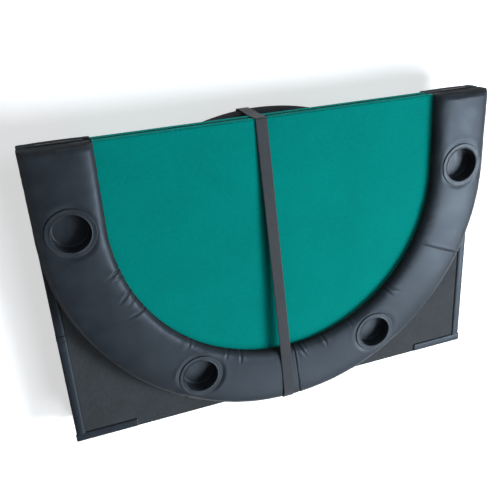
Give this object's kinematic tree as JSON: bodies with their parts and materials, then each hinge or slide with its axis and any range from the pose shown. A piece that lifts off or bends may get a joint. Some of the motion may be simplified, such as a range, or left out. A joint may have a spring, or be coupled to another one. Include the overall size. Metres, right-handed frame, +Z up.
{
  "type": "folding poker table top",
  "caption": "Oval poker table top in three padded, cloth-covered panels with cup holders, folded flat into a stack and held by a strap.",
  "frame": {"origin": "centre of the bounding box at the bottom of the feet, with the table folded and lying on its rear panel", "axes": "+X along the fold lines, +Y towards the fold line between the middle and front panels, +Z up through the stack"},
  "size_m": [0.9, 0.6072, 0.1354],
  "materials": {
    "board": "raw particle board",
    "backing": "matt black non-woven cloth",
    "rail_wood": "raw wood",
    "rail_foam": "open foam",
    "vinyl": "satin black vinyl",
    "cloth_pad": "thin foam sheet",
    "cloth": "green speed cloth",
    "foot_rubber": "matt",
    "cup_plastic": "satin black",
    "hinge_steel": "black lacquer",
    "pin_steel": "black lacquer",
    "screw_steel": "black lacquer",
    "webbing": "dark grey polypropylene webbing",
    "hook_tape": "black hook and loop tape"
  },
  "bodies": {
    "rear": {"rear_board": "board", "rear_backing": "backing", "rear_strip": "rail_wood", "rear_foam": "rail_foam", "rear_cover": "vinyl", "rear_pad": "cloth_pad", "rear_cloth": "cloth", "rear_feet": "foot_rubber", "cup_rear_1": "cup_plastic", "cup_rear_2": "cup_plastic", "cup_rear_3": "cup_plastic", "cup_rear_4": "cup_plastic", "face_leaves_rear": "hinge_steel", "face_pins": "pin_steel", "face_screws_rear": "screw_steel", "strap_lower": "webbing", "strap_tail": "hook_tape"},
    "middle": {"middle_board": "board", "middle_backing": "backing", "middle_strips": "rail_wood", "middle_foam": "rail_foam", "middle_cover": "vinyl", "middle_pad": "cloth_pad", "middle_cloth": "cloth", "middle_feet": "foot_rubber", "cup_middle_1": "cup_plastic", "cup_middle_2": "cup_plastic", "fold_leaves_middle": "hinge_steel", "fold_pins": "pin_steel", "fold_screws_middle": "screw_steel", "face_leaves_middle": "hinge_steel", "face_screws_middle": "screw_steel", "strap_upper": "webbing"},
    "front": {"front_board": "board", "front_backing": "backing", "front_strip": "rail_wood", "front_foam": "rail_foam", "front_cover": "vinyl", "front_pad": "cloth_pad", "front_cloth": "cloth", "front_feet": "foot_rubber", "cup_front_1": "cup_plastic", "cup_front_2": "cup_plastic", "cup_front_3": "cup_plastic", "cup_front_4": "cup_plastic", "fold_leaves_front": "hinge_steel", "fold_screws_front": "screw_steel"}
  },
  "joints": [
    {"name": "back_fold", "type": "hinge", "parent": "rear", "child": "middle", "pos_m": [0, -0.3021, 0.0465], "axis": [1, 0, 0], "range_deg": [0, 180], "deforming": ["strap_lower"]},
    {"name": "front_fold", "type": "hinge", "parent": "middle", "child": "front", "pos_m": [0, 0.3003, 0.09065], "axis": [-1, 0, 0], "range_deg": [0, 180], "deforming": ["strap_upper"]}
  ]
}
